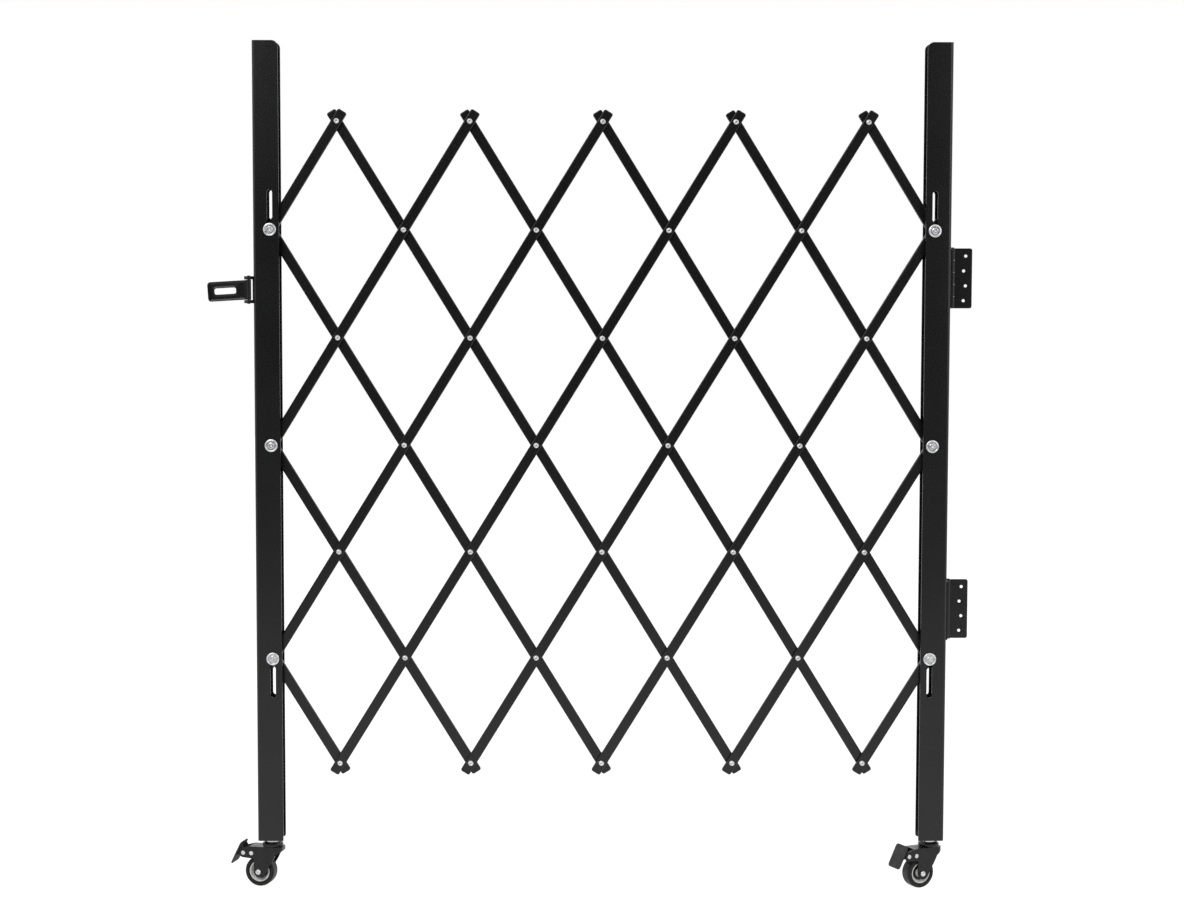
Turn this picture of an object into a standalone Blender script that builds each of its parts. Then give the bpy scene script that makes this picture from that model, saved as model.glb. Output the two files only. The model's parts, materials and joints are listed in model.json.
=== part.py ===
"""Expandable safety barrier: two channel posts, a riveted scissor lattice, hinges, hasp and casters.

Metres, +Z up. The gate is drawn in its own frame: X runs from the latch post to the hinge post with
zero midway, Y points away from the viewer with zero where the two layers of bars meet, and Z is zero
at the fixed middle bolts. An empty then carries all of it to the part's origin, which is on the back
of the lower wall leaf.
"""
import math

import bmesh
import bpy
from mathutils import Vector

for leftover in list(bpy.data.objects):
    bpy.data.objects.remove(leftover, do_unlink=True)

# Shared clearances
GAP = 0.0003              # between pieces that touch or turn on each other
WELD = 0.0005             # how far a fused feature is sunk into the piece that carries it
OVERRUN = 0.004           # how far every cutter runs past the metal
MERGE = 0.000002          # closest points of one shape that become one
SMOOTH_ANGLE = math.radians(32)   # flatter edges than this are shaded round

# Lattice
PITCH = 0.214             # from one crossing to the next along a bar
OPEN_ANGLE = math.radians(31.6)   # lean of the bars from upright, fully opened
FOLD_TRAVEL = math.radians(28.0)  # how far each bar turns to fold the gate
COLUMNS = 10              # crossings from bolt line to bolt line
TOP_ROW = 3               # rows of crossings above and below the middle bolts
BAR_WIDTH = 0.0172
BAR_DEPTH = 0.007
BAR_SHEET = 0.0018
BAR_CORNER = 0.003        # rounding of the square cut ends
BAR_FOLD = 0.0012         # outside rounding of the folded edges
BAR_END = 0.020           # from the last hole to the end of the bar

# Rivets, closed tight on the front bar and free in the back bar
RIVET_HEAD = 0.0050       # radius
RIVET_HEAD_RISE = 0.0042
RIVET_SHANK = 0.0028
RIVET_TAIL = 0.0043
RIVET_TAIL_RISE = 0.0020
RIVET_PLAY = 0.0005       # radial clearance in the back bar
CROWN_SHARE = 0.75        # radius at which a rivet's crown turns down
CROWN_DROP_SHARE = 0.25   # how far the crown has dropped there

# Posts
POST_HEIGHT = 1.360
POST_WIDTH = 0.0438       # along X, web to the open edge
POST_DEPTH = 0.036        # along Y, over both flanges
POST_SHEET = 0.0025
POST_FOLD = 0.005         # outside rounding of the folded edges
FLANGE_CORNER = 0.0105    # rounding of the flanges' top corners at the open side
FOOT_CORNER = 0.004       # and of the back flange's bottom corner
BOLT_INSET = 0.0283       # bolt line from the outside of the web
FOOT_SHEET = 0.003        # plate welded in the bottom of each post
SLOT_PLAY = 0.0005        # on each side of a bolt, and past it at the slot's ends

# Pivot bolts
BOLT_SHANK = 0.004        # radius
BOLT_HEAD = 0.011
BOLT_HEAD_RISE = 0.0042
BOLT_BOSS = 0.005
BOLT_GROOVE_WIDTH = 0.003
BOLT_GROOVE = 0.0024
BOLT_CHAMFER = 0.001
BOLT_TIP = 0.0015         # what stands out of the nut
BUSH_WALL = 0.002
BUSH_PLAY = 0.0005        # radial clearance of a bolt in its holes
NUT_ACROSS = 0.013
NUT_HEIGHT = 0.0065

# Hinges
HINGE_HEIGHT = 0.102
HINGE_SPREAD = 0.567      # centre to centre
HINGE_MIDDLE = 0.0015     # centre of the pair above the middle bolts
LEAF_SHEET = 0.0025
LEAF_WIDTH = 0.041        # wall leaf, from the post's web to its free edge
POST_LEAF_WIDTH = 0.031
LEAF_CORNER = 0.0035
BARREL = 0.0055           # radius
HINGE_PIN = 0.003
PIN_HEAD_RISE = 0.0012
KNUCKLES = 5
LEAF_HOLES = 4
LEAF_HOLE = 0.0027
LEAF_SINK = 0.0048        # radius of the countersink
LEAF_HOLE_PITCH = 0.0253
LEAF_HOLE_ROW = 0.0287    # mean distance of the holes from the web
LEAF_HOLE_STAGGER = 0.0033

# Hasp
HASP_HEIGHT = 0.2632      # middle of the strap above the middle bolts
HASP_PIN = 0.002
HASP_PIN_RISE = 0.0008
HASP_KNUCKLE = 0.0042
HASP_STAND_OFF = 0.0082   # pin from the web
HASP_SETBACK = 0.004      # pin behind the front of the post
HASP_EAR = 0.0055         # height of each ear
HASP_EAR_ROUND = 0.0078
HASP_EAR_OVERALL = 0.0456
HASP_PLATE = 0.0015       # plate of the ears, against the web
HASP_PLATE_WIDTH = 0.020
STRAP_LENGTH = 0.0691     # pin to tip
STRAP_HEIGHT = 0.033
STRAP_SHEET = 0.003
STRAP_CORNER = 0.005
STRAP_SLOT_LENGTH = 0.0366
STRAP_SLOT_HEIGHT = 0.0104
STRAP_SLOT_CORNER = 0.0032
STRAP_SLOT_INSET = 0.0113  # slot from the tip
STRAP_DROOP = math.radians(3.5)

# Casters
KING_INSET = 0.0235       # king bolt from the outside of the post's web
WHEEL = 0.026             # radius over the tyre
WHEEL_WIDTH = 0.022
HOOD_CLEARANCE = 0.0156   # from the tyre up to the fork's roof
RACE_HEIGHT = 0.0123      # from the fork's roof to the bottom of the post
TRAIL = 0.0212            # axle behind the king bolt
TYRE = 0.0078             # thickness of rubber on the wheel
TYRE_SHOULDER = 0.0024
RIM_INSET = 0.0012        # rim back from the wheel's side
HUB = 0.0078
HUB_DISC = 0.007          # thickness of the web between hub and rim
RIM = 0.0058
AXLE = 0.003
AXLE_HEAD = 0.0048
AXLE_HEAD_RISE = 0.0035
AXLE_NUT_RISE = 0.005
FORK_SHEET = 0.002
FORK_WIDTH = 0.0292
FORK_FRONT = 0.0200       # front of the fork's roof before the king bolt
FORK_CORNER = 0.009       # rounding of the roof's front corners
FORK_LIP = 0.006          # how far the roof's front edge hangs down
LEG_FRONT = 0.009         # front of each leg before the king bolt, at its top
LEG_FRONT_DROP = 0.0145   # and how far that is below the roof
LEG_KNEE = 0.004          # where the front edge turns in towards the axle
LEG_KNEE_DROP = 0.0245
FORK_EYE = 0.0105         # round end of the leg at the axle
FORK_EYE_SET = 0.002      # and its middle before the axle
FORK_EYE_START = math.radians(194)
HOOD_REAR = 0.038         # end of the fork's roof, behind the king bolt
EAR_BACK = 0.0059         # rear edge of the ears behind the pedal's pin
EAR_DROP = 0.0035         # top of the ears below the roof
EAR_DEPTH = 0.0195        # bottom of the ears below the roof
EAR_CHAMFER = 0.004
EAR_FILLET = 0.002
RACE = 0.018
RACE_SKIRT = 0.0055
RACE_NECK = 0.0125        # radius of the light washer on top
RACE_NECK_RISE = 0.0035
KING_BOLT = 0.005
KING_HEAD = 0.0085
KING_HEAD_RISE = 0.0035
KING_NUT_ACROSS = 0.015
KING_NUT_HEIGHT = 0.0055
PEDAL_WIDTH = 0.035
PEDAL_LENGTH = 0.042
PEDAL_SHEET = 0.002
PEDAL_CORNER = 0.005
PEDAL_LEAN = math.radians(26)
PEDAL_PIVOT = 0.0488      # behind the king bolt
PEDAL_PIVOT_DROP = 0.0115 # below the roof
PEDAL_REACH = 0.0098      # pivot to the pedal plate
PEDAL_DROP = 0.0065       # middle of the plate below the pivot, along the plate
CHEEK_HEIGHT = 0.011
PEDAL_PIN = 0.0022
PEDAL_PIN_HEAD = 0.0036
PEDAL_PIN_RISE = 0.0014
ANCHOR_PIN = 0.034        # behind the king bolt
LATCH_CASTER_YAW = math.radians(166.5)
HINGE_CASTER_YAW = math.radians(-155)

# Places that follow from the sizes
COLUMN_STEP = PITCH * math.sin(OPEN_ANGLE)
ROW_STEP = PITCH * math.cos(OPEN_ANGLE)
BOLT_LINE = COLUMN_STEP * COLUMNS / 2
SLOT_TOP = (TOP_ROW - 1) * PITCH * math.cos(OPEN_ANGLE - FOLD_TRAVEL)
SLOT_BOTTOM = (TOP_ROW - 1) * ROW_STEP
WEB = BOLT_LINE + BOLT_INSET
POST_FACE = POST_DEPTH / 2
BAR_FACE = GAP / 2 + BAR_DEPTH
BARREL_X = WEB + GAP + BARREL
BARREL_Y = POST_FACE - BARREL
LOWER_HINGE = HINGE_MIDDLE - HINGE_SPREAD / 2
UPPER_HINGE = HINGE_MIDDLE + HINGE_SPREAD / 2
WALL_LEAF_MIDDLE = WEB + (LEAF_WIDTH + BARREL + BARREL) / 2
HASP_PIN_X = -WEB - HASP_STAND_OFF
HASP_PIN_Y = HASP_SETBACK - POST_FACE
FORK_TOP = WHEEL + WHEEL + HOOD_CLEARANCE + FORK_SHEET
CASTER_HEIGHT = FORK_TOP + RACE_HEIGHT
CASTER_FLOOR = -POST_HEIGHT / 2 - CASTER_HEIGHT
EAR_REAR = PEDAL_PIVOT + EAR_BACK
PEDAL_PIVOT_HEIGHT = FORK_TOP - PEDAL_PIVOT_DROP
KING_OFFSET = BOLT_INSET - KING_INSET

AXES = {"X": Vector((1, 0, 0)), "Y": Vector((0, 1, 0)), "Z": Vector((0, 0, 1))}


def finish(name, colour, roughness, metallic):
    """A plain material with one colour for each kind of surface."""
    material = bpy.data.materials.new(name)
    material.use_nodes = True
    shader = material.node_tree.nodes["Principled BSDF"]
    shader.inputs["Base Color"].default_value = (*colour, 1)
    shader.inputs["Roughness"].default_value = roughness
    shader.inputs["Metallic"].default_value = metallic
    material.diffuse_color = (*colour, 1)
    return material


BLACK_POWDER = finish("black_powder_coat", (0.022, 0.022, 0.024), 0.55, 0.0)
BRIGHT_ZINC = finish("bright_zinc", (0.62, 0.63, 0.65), 0.32, 1.0)
BLACK_ZINC = finish("black_zinc", (0.035, 0.035, 0.038), 0.42, 0.6)
RUBBER = finish("black_rubber", (0.03, 0.03, 0.03), 0.75, 0.0)
GREY_NYLON = finish("grey_nylon", (0.42, 0.42, 0.41), 0.5, 0.0)


def at(axis, across, along, height):
    """The point with the given places on the two cross axes and along the named axis."""
    if axis == "X":
        return Vector((height, across, along))
    if axis == "Y":
        return Vector((across, height, along))
    return Vector((across, along, height))


def prism(outline, start, end, axis):
    """An outline of two coordinates, extruded along the named axis from start to end."""
    shape = bmesh.new()
    face = shape.faces.new([shape.verts.new(at(axis, a, b, start)) for a, b in outline])
    swept = bmesh.ops.extrude_face_region(shape, geom=[face])
    points = [item for item in swept["geom"] if isinstance(item, bmesh.types.BMVert)]
    bmesh.ops.translate(shape, verts=points, vec=AXES[axis] * (end - start))
    bmesh.ops.recalc_face_normals(shape, faces=shape.faces)
    return shape


def turned(profile, segments, axis, centre=(0, 0), ring=False):
    """A profile of (radius, place along the axis) pairs, spun into a solid; a ring profile closes."""
    shape = bmesh.new()
    points = [shape.verts.new(at(axis, radius, 0, place)) for radius, place in profile]
    edges = [shape.edges.new(pair) for pair in zip(points, points[1:])]
    if ring:
        edges.append(shape.edges.new((points[-1], points[0])))
    bmesh.ops.spin(shape, geom=points + edges, cent=(0, 0, 0), axis=AXES[axis],
                   angle=math.tau, steps=segments, use_merge=True)
    bmesh.ops.remove_doubles(shape, verts=shape.verts, dist=MERGE)
    bmesh.ops.recalc_face_normals(shape, faces=shape.faces)
    bmesh.ops.translate(shape, verts=shape.verts, vec=at(axis, *centre, 0))
    return shape


def rod(radius, start, end, segments, axis, centre=(0, 0)):
    """A plain round bar along the named axis."""
    return turned([(0, start), (radius, start), (radius, end), (0, end)], segments, axis, centre)


def box(low, high):
    """A block between two corners."""
    outline = [(low[0], low[1]), (high[0], low[1]), (high[0], high[1]), (low[0], high[1])]
    return prism(outline, low[2], high[2], "Z")


def arc(centre, radius, start, end, steps):
    """Points on a round stretch, angles in radians."""
    turn = (end - start) / steps
    points = []
    for step in range(steps + 1):
        angle = start + turn * step
        points.append((centre[0] + radius * math.cos(angle), centre[1] + radius * math.sin(angle)))
    return points


def rounded(left, right, bottom, top, radii, steps):
    """A rectangle with four corner radii: lower right, upper right, upper left, lower left."""
    corners = [(right, bottom, -1, 1, -0.25), (right, top, -1, -1, 0),
               (left, top, 1, -1, 0.25), (left, bottom, 1, 1, 0.5)]
    outline = []
    for (x, z, toward_x, toward_z, turn_share), radius in zip(corners, radii):
        if radius == 0:
            outline.append((x, z))
            continue
        begin = turn_share * math.tau
        centre = (x + toward_x * radius, z + toward_z * radius)
        outline += arc(centre, radius, begin, begin + math.tau / 4, steps)
    return outline


def oblong(centre, radius, bottom, top, steps):
    """A slot with round ends; bottom and top are the centres of the ends."""
    return (arc((centre, top), radius, 0, math.pi, steps)
            + arc((centre, bottom), radius, math.pi, math.tau, steps))


def hexagon(across, centre=(0, 0)):
    """A nut's outline from its width across flats."""
    return arc(centre, across / math.sqrt(3), 0, math.tau * 5 / 6, 5)


def mesh_from(name, shapes):
    """One mesh from several closed shapes."""
    joined = bmesh.new()
    for shape in shapes:
        piece = bpy.data.meshes.new(name)
        shape.to_mesh(piece)
        shape.free()
        joined.from_mesh(piece)
        bpy.data.meshes.remove(piece)
    mesh = bpy.data.meshes.new(name)
    joined.to_mesh(mesh)
    joined.free()
    return mesh


def hold(child, parent):
    """Parent without moving the child's own coordinates."""
    child.parent = parent
    return child


def marker(name, place, parent, yaw=0):
    """An empty on a joint's axis."""
    empty = bpy.data.objects.new(name, None)
    empty.empty_display_size = BAR_WIDTH
    empty.location = place
    empty.rotation_euler = (0, 0, yaw)
    bpy.context.collection.objects.link(empty)
    return hold(empty, parent)


def piece(name, shapes, material, parent, place=(0, 0, 0), turn=(0, 0, 0), hollow=(), adds=(), cuts=()):
    """One named sub-part: its shapes are hollowed out, then things are welded on, then it is cut."""
    item = bpy.data.objects.new(name, mesh_from(name, shapes))
    item.data.materials.append(material)
    bpy.context.collection.objects.link(item)
    item.location = place
    item.rotation_euler = turn
    hold(item, parent)
    steps = (("hollow", "DIFFERENCE", hollow), ("welds", "UNION", adds), ("cuts", "DIFFERENCE", cuts))
    for word, operation, tools in steps:
        if not tools:
            continue
        tool = bpy.data.objects.new(name + "_" + word, mesh_from(name + "_" + word, tools))
        bpy.context.collection.objects.link(tool)
        tool.hide_render = True
        tool.display_type = "WIRE"
        hold(tool, item)
        step = item.modifiers.new(word, "BOOLEAN")
        step.operation = operation
        step.solver = "EXACT"
        step.use_self = len(tools) > 1
        step.object = tool
    item.data.shade_smooth()
    item.data.set_sharp_from_angle(angle=SMOOTH_ANGLE)
    return item


# The empty that carries the gate's own frame to the part's origin
gate = marker("gate_frame", (-WALL_LEAF_MIDDLE, -POST_FACE, -LOWER_HINGE), None)
swing_axis = marker("gate_swing_axis", (BARREL_X, BARREL_Y, 0), gate)


def node_place(column, row):
    """Where a crossing lies in the opened gate."""
    return Vector((column * COLUMN_STEP - BOLT_LINE, 0, row * ROW_STEP))


# Posts. Side is -1 for the latch post and 1 for the hinge post.

def channel_plan():
    """The bent sheet as one closed outline that goes round the outside and back round the inside."""
    left, right = -BOLT_INSET, POST_WIDTH - BOLT_INSET
    inner = POST_FOLD - POST_SHEET
    face, hollow = POST_FACE, POST_FACE - POST_SHEET
    quarter = math.pi / 2
    outside = ([(right, face)] + arc((left + POST_FOLD, face - POST_FOLD), POST_FOLD, quarter, math.pi, 4)
               + arc((left + POST_FOLD, POST_FOLD - face), POST_FOLD, math.pi, math.pi + quarter, 4)
               + [(right, -face)])
    middle = left + POST_SHEET + inner
    inside = ([(right, -hollow)] + arc((middle, inner - hollow), inner, math.pi + quarter, math.pi, 3)
              + arc((middle, hollow - inner), inner, math.pi, quarter, 3) + [(right, hollow)])
    return outside + inside


def toward(side, outline):
    """Turn an outline drawn for the latch post to face the other way for the hinge post."""
    if side < 0:
        return outline
    return [(-a, b) for a, b in reversed(outline)]


def flange_corner_cut(side, radius, steps, top, low_depth, high_depth):
    """What is cut off a flange to round its corner at the open side."""
    open_edge = POST_WIDTH - BOLT_INSET
    end = POST_HEIGHT / 2
    curve = arc((open_edge - radius, end - radius), radius, 0, math.pi / 2, steps)
    outline = curve + [(open_edge - radius, end + OVERRUN), (open_edge + OVERRUN, end + OVERRUN),
                       (open_edge + OVERRUN, end - radius)]
    if not top:
        outline = [(a, -b) for a, b in reversed(outline)]
    return prism(toward(side, outline), low_depth, high_depth, "Y")


def post_solids(side):
    """The bent channel, and the plate welded in at its foot."""
    inner_web = POST_SHEET + GAP - BOLT_INSET
    plate_half = POST_FACE - POST_SHEET + WELD
    bottom = -POST_HEIGHT / 2
    plate = [(inner_web - WELD - GAP, -plate_half), (POST_WIDTH - BOLT_INSET - FLANGE_CORNER, -plate_half),
             (POST_WIDTH - BOLT_INSET - FLANGE_CORNER, plate_half), (inner_web - WELD - GAP, plate_half)]
    channel = prism(toward(side, channel_plan()), bottom, POST_HEIGHT / 2, "Z")
    foot = prism(toward(side, plate), bottom + MERGE, bottom + FOOT_SHEET, "Z")
    return channel, foot


def post_cuts(side):
    """Slots, the middle bolt's hole, the king bolt's hole and the rounded corners."""
    slot = BOLT_SHANK + SLOT_PLAY
    through = POST_FACE + OVERRUN
    cuts = [prism(oblong(0, slot, SLOT_BOTTOM, SLOT_TOP, 4), -through, through, "Y"),
            prism(oblong(0, slot, -SLOT_TOP, -SLOT_BOTTOM, 4), -through, through, "Y"),
            rod(BOLT_SHANK + BUSH_PLAY, -through, through, 10, "Y"),
            rod(KING_BOLT + BUSH_PLAY, -POST_HEIGHT / 2 - OVERRUN, FOOT_SHEET + OVERRUN - POST_HEIGHT / 2,
                10, "Z", (side * KING_OFFSET, 0)),
            flange_corner_cut(side, FLANGE_CORNER, 8, True, -through, through),
            flange_corner_cut(side, FOOT_CORNER, 4, False, 0, through)]
    return cuts


def build_post(name, side, parent, place):
    channel, foot = post_solids(side)
    piece(name, [channel], BLACK_POWDER, parent, place, adds=[foot], cuts=post_cuts(side))


build_post("latch_post", -1, gate, node_place(0, 0))
build_post("hinge_post", 1, swing_axis, (BOLT_LINE - BARREL_X, -BARREL_Y, 0))


# Lattice. A rising bar climbs to the right in the front layer and carries the rivets; a falling bar
# drops to the right in the back layer. Both are channels with the web towards the viewer.

RISING_BARS = [  # left end, right end, joint's crossing
    ((0, 2), (1, 3), (1, 3)), ((0, 0), (3, 3), (0, 0)), ((0, -2), (5, 3), (2, 0)),
    ((1, -3), (7, 3), (7, 3)), ((3, -3), (9, 3), (8, 2)), ((5, -3), (10, 2), (9, 1)),
    ((7, -3), (10, 0), (10, 0)), ((9, -3), (10, -2), (9, -3))]
FALLING_BARS = [
    ((0, -2), (1, -3), (1, -3)), ((0, 0), (3, -3), (2, -2)), ((0, 2), (5, -3), (3, -1)),
    ((1, 3), (7, -3), (4, 0)), ((3, 3), (9, -3), (5, 1)), ((5, 3), (10, -2), (6, 2)),
    ((7, 3), (10, 0), (10, 0)), ((9, 3), (10, 2), (9, 3))]


def bar_holes(start, end, joint):
    """Height of each crossing above the joint's hole, along the bar, and whether a post bolt is there."""
    climb = 1 if end[1] > start[1] else -1
    holes = []
    for step in range(end[0] - start[0] + 1):
        column, row = start[0] + step, start[1] + climb * step
        holes.append(((row - joint[1]) * PITCH, column in (0, COLUMNS)))
    return holes


def bar_shell(low, high, front):
    """The folded channel: its square ends have small round corners, and it is hollow at the back."""
    half = BAR_WIDTH / 2
    outline = rounded(-half, half, low - BAR_END, high + BAR_END, (BAR_CORNER,) * 4, 2)
    body = prism(outline, front, front + BAR_DEPTH, "Y")
    rim = [edge for edge in body.edges if all(abs(v.co.y - front) < MERGE for v in edge.verts)]
    bmesh.ops.bevel(body, geom=rim, offset=BAR_FOLD, segments=1, affect="EDGES", profile=0.5)
    hollow = half - BAR_SHEET
    core = box((-hollow, front + BAR_SHEET, low - BAR_END - OVERRUN),
               (hollow, front + BAR_DEPTH + OVERRUN, high + BAR_END + OVERRUN))
    return body, core


def rivet(height, front):
    """Crowned head on the front bar; shank through both webs with the formed tail behind."""
    head = front - RIVET_HEAD_RISE
    tail = GAP / 2 + BAR_SHEET + GAP
    crown = [(0, head), (RIVET_HEAD * CROWN_SHARE, head + RIVET_HEAD_RISE * CROWN_DROP_SHARE),
             (RIVET_HEAD, front + WELD), (0, front + WELD)]
    shank = [(0, front + WELD / 2), (RIVET_SHANK, front + WELD / 2), (RIVET_SHANK, tail), (RIVET_TAIL, tail),
             (RIVET_TAIL * CROWN_SHARE, tail + RIVET_TAIL_RISE), (0, tail + RIVET_TAIL_RISE)]
    return [turned(crown, 8, "Y", (0, height)), turned(shank, 6, "Y", (0, height))]


def rising_bar(name, start, end, joint, parent, place):
    holes = bar_holes(start, end, joint)
    front = -BAR_FACE
    body, core = bar_shell(holes[0][0], holes[-1][0], front)
    bush = BOLT_SHANK + BUSH_PLAY + BUSH_WALL
    adds, bores = [], []
    for height, at_post in holes:
        if at_post:
            adds.append(rod(bush, GAP + POST_SHEET - POST_FACE, -GAP / 2, 10, "Y", (0, height)))
            bores.append(rod(BOLT_SHANK + BUSH_PLAY, -POST_FACE, OVERRUN, 10, "Y", (0, height)))
        else:
            adds += rivet(height, front)
    piece(name, [body], BLACK_POWDER, parent, place, (0, OPEN_ANGLE, 0), [core], adds, bores)


def falling_bar(name, start, end, joint, parent, place):
    holes = bar_holes(start, end, joint)
    heights = [height for height, _ in holes]
    front = GAP / 2
    body, core = bar_shell(min(heights), max(heights), front)
    bush = BOLT_SHANK + BUSH_PLAY + BUSH_WALL
    adds, bores = [], []
    for height, at_post in holes:
        if at_post:
            adds.append(rod(bush, GAP / 2 + MERGE, POST_FACE - POST_SHEET - GAP, 10, "Y", (0, height)))
            bores.append(rod(BOLT_SHANK + BUSH_PLAY, -OVERRUN, POST_FACE, 10, "Y", (0, height)))
        else:
            bores.append(rod(RIVET_SHANK + RIVET_PLAY, -OVERRUN, front + BAR_DEPTH, 8, "Y", (0, height)))
    piece(name, [body], BLACK_POWDER, parent, place, (0, -OPEN_ANGLE, 0), [core], adds, bores)


for number, (start, end, joint) in enumerate(RISING_BARS, 1):
    rising_bar("rising_bar_%d" % number, start, end, joint, gate, node_place(*joint))
for number, (start, end, joint) in enumerate(FALLING_BARS, 1):
    falling_bar("falling_bar_%d" % number, start, end, joint, gate, node_place(*joint))


# Pivot bolts and nuts, three to a post

def pivot_bolt(name, place):
    front = -POST_FACE - GAP
    top = front - BOLT_HEAD_RISE
    groove = top + BOLT_GROOVE
    tip = POST_FACE + GAP + NUT_HEIGHT + BOLT_TIP
    rim = BOLT_BOSS + BOLT_GROOVE_WIDTH
    profile = [(0, top), (BOLT_BOSS, top), (BOLT_BOSS, groove), (rim, groove),
               (rim + BOLT_CHAMFER, top + BOLT_CHAMFER), (BOLT_HEAD, groove), (BOLT_HEAD, front),
               (BOLT_SHANK, front), (BOLT_SHANK, tip), (0, tip)]
    piece(name, [turned(profile, 11, "Y")], BRIGHT_ZINC, gate, place)


def pivot_nut(name, place):
    face = POST_FACE + GAP
    hexes = prism(hexagon(NUT_ACROSS), face, face + NUT_HEIGHT, "Y")
    bore = rod(BOLT_SHANK + BUSH_PLAY, face - OVERRUN, face + NUT_HEIGHT + OVERRUN, 10, "Y")
    piece(name, [hexes], BRIGHT_ZINC, gate, place, cuts=[bore])


for post_name, column in (("latch", 0), ("hinge", COLUMNS)):
    for level, row in (("top", TOP_ROW - 1), ("middle", 0), ("bottom", 1 - TOP_ROW)):
        pivot_bolt("pivot_bolt_%s_%s" % (post_name, level), node_place(column, row))
        pivot_nut("pivot_nut_%s_%s" % (post_name, level), node_place(column, row))


# Hinges. The wall leaf faces the viewer; the post leaf lies on the hinge post's web.

def knuckle_spans(mine):
    """Bottom and top of every other knuckle, the wall leaf having the outer ones."""
    length = HINGE_HEIGHT / KNUCKLES
    spans = []
    for count in range(KNUCKLES):
        if (count % 2 == 0) == mine:
            low = length * count - HINGE_HEIGHT / 2
            below = GAP / 2 if count else 0
            above = GAP / 2 if count < KNUCKLES - 1 else 0
            spans.append((low + below, low + length - above))
    return spans


def knuckles_and_notches(spans_mine, spans_other):
    """A leaf's knuckles, and its cuts: the pin's bore and the notches for the other leaf's knuckles."""
    clear = BARREL + GAP
    knuckles = [rod(BARREL, low, high, 10, "Z") for low, high in spans_mine]
    cuts = [rod(HINGE_PIN + GAP, -HINGE_HEIGHT, HINGE_HEIGHT, 12, "Z")]
    for low, high in spans_other:
        cuts.append(box((-clear, -clear, low - GAP), (clear, clear, high + GAP)))
    return knuckles, cuts


def build_hinge(name, height):
    half = HINGE_HEIGHT / 2
    free = LEAF_WIDTH - GAP - BARREL
    outline = rounded(0, free, -half, half, (LEAF_CORNER, LEAF_CORNER, 0, 0), 3)
    wall_sheet = prism(outline, BARREL - LEAF_SHEET, BARREL, "Y")
    adds, cuts = knuckles_and_notches(knuckle_spans(True), knuckle_spans(False))
    row = LEAF_HOLE_ROW - GAP - BARREL
    for count in range(LEAF_HOLES):
        place = (row + LEAF_HOLE_STAGGER * (1 / 2 - count % 2),
                 LEAF_HOLE_PITCH * ((LEAF_HOLES - 1) / 2 - count))
        front = BARREL - LEAF_SHEET
        cuts.append(turned([(0, front - OVERRUN), (LEAF_SINK + OVERRUN, front - OVERRUN),
                            (LEAF_HOLE, front + LEAF_SINK - LEAF_HOLE), (LEAF_HOLE, BARREL + OVERRUN),
                            (0, BARREL + OVERRUN)], 8, "Y", place))
    place = (BARREL_X, BARREL_Y, height)
    piece(name + "_wall_leaf", [wall_sheet], BLACK_POWDER, gate, place, adds=adds, cuts=cuts)

    outline = rounded(BARREL - POST_LEAF_WIDTH, 0, -half, half, (0, 0, LEAF_CORNER, LEAF_CORNER), 3)
    post_sheet = prism(outline, -BARREL, LEAF_SHEET - BARREL, "X")
    adds, cuts = knuckles_and_notches(knuckle_spans(False), knuckle_spans(True))
    piece(name + "_post_leaf", [post_sheet], BLACK_POWDER, swing_axis, (0, 0, height), adds=adds, cuts=cuts)

    seat = half + GAP
    head = BARREL - PIN_HEAD_RISE
    pin = [(0, seat + PIN_HEAD_RISE), (HINGE_PIN, seat + PIN_HEAD_RISE), (head, seat + PIN_HEAD_RISE / 2),
           (head, seat), (HINGE_PIN, seat), (HINGE_PIN, -half), (0, -half)]
    piece(name + "_pin", [turned(pin, 12, "Z")], BLACK_ZINC, gate, place)


build_hinge("upper_hinge", UPPER_HINGE)
build_hinge("lower_hinge", LOWER_HINGE)


# Hasp. The bracket is fixed to the latch post's web and the strap swings on an upright pin.

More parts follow.
